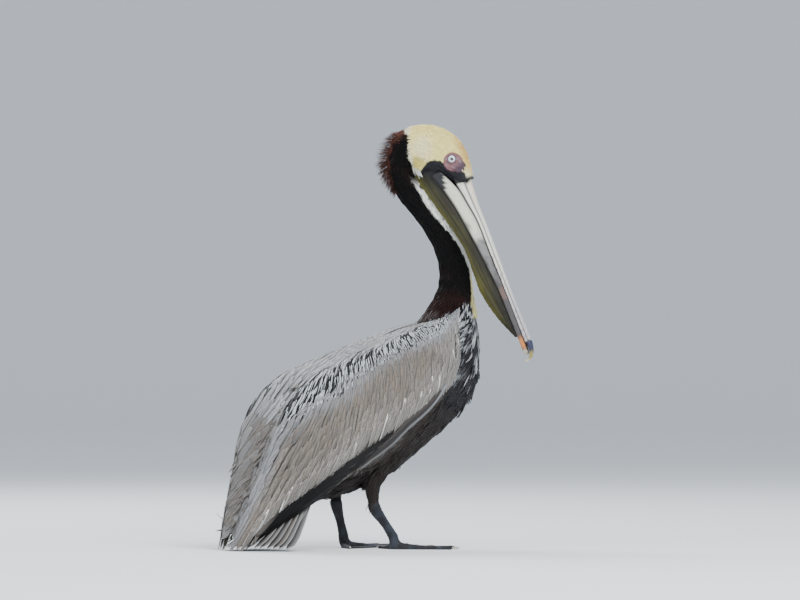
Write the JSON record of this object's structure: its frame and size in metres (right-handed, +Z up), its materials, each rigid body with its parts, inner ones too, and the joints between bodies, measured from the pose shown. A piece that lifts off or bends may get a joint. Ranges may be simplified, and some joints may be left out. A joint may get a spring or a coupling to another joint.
{
  "type": "brown pelican",
  "caption": "Life-size standing brown pelican with its head turned, long bill hanging beside the neck, wings folded, webbed feet flat and tail resting on the floor",
  "frame": {"origin": "on the floor, under the middle of the bird's length and width", "axes": "+X is the way the breast faces, +Y the bird's left and +Z up"},
  "size_m": [0.5148, 0.229, 0.7067],
  "materials": {
    "head_feathers": "short cream and pale yellow feathers",
    "crest_feathers": "loose chestnut feathers with dark tips",
    "neck_feathers": "velvety black-brown feathers",
    "breast_feathers": "dark feathers with silver streaks",
    "silver_feathers": "silver-grey feathers with pale edges",
    "flight_feathers": "black flight feathers with pale shafts",
    "bill_horn": "satin ivory and grey horn",
    "nail_horn": "satin yellow horn with a dark root",
    "pouch_skin": "finely folded olive skin",
    "leg_skin": "scaly black-grey skin",
    "claw_horn": "satin horn",
    "eye": "wet, pale iris round a black pupil"
  },
  "bodies": {
    "root": {"head": "head_feathers", "crest": "crest_feathers", "bill_upper": "bill_horn", "bill_lower": "bill_horn", "bill_nail": "nail_horn", "pouch": "pouch_skin", "neck_upper": "neck_feathers", "neck_lower": "neck_feathers", "trunk": "breast_feathers", "tail": "silver_feathers", "eye_right": "eye", "wing_right": "silver_feathers", "primaries_right": "flight_feathers", "thigh_right": "breast_feathers", "shank_right": "leg_skin", "foot_right": "leg_skin", "claw_right_hind": "claw_horn", "claw_right_inner": "claw_horn", "claw_right_middle": "claw_horn", "claw_right_outer": "claw_horn", "eye_left": "eye", "wing_left": "silver_feathers", "primaries_left": "flight_feathers", "thigh_left": "breast_feathers", "shank_left": "leg_skin", "foot_left": "leg_skin", "claw_left_hind": "claw_horn", "claw_left_inner": "claw_horn", "claw_left_middle": "claw_horn", "claw_left_outer": "claw_horn"}
  },
  "joints": []
}
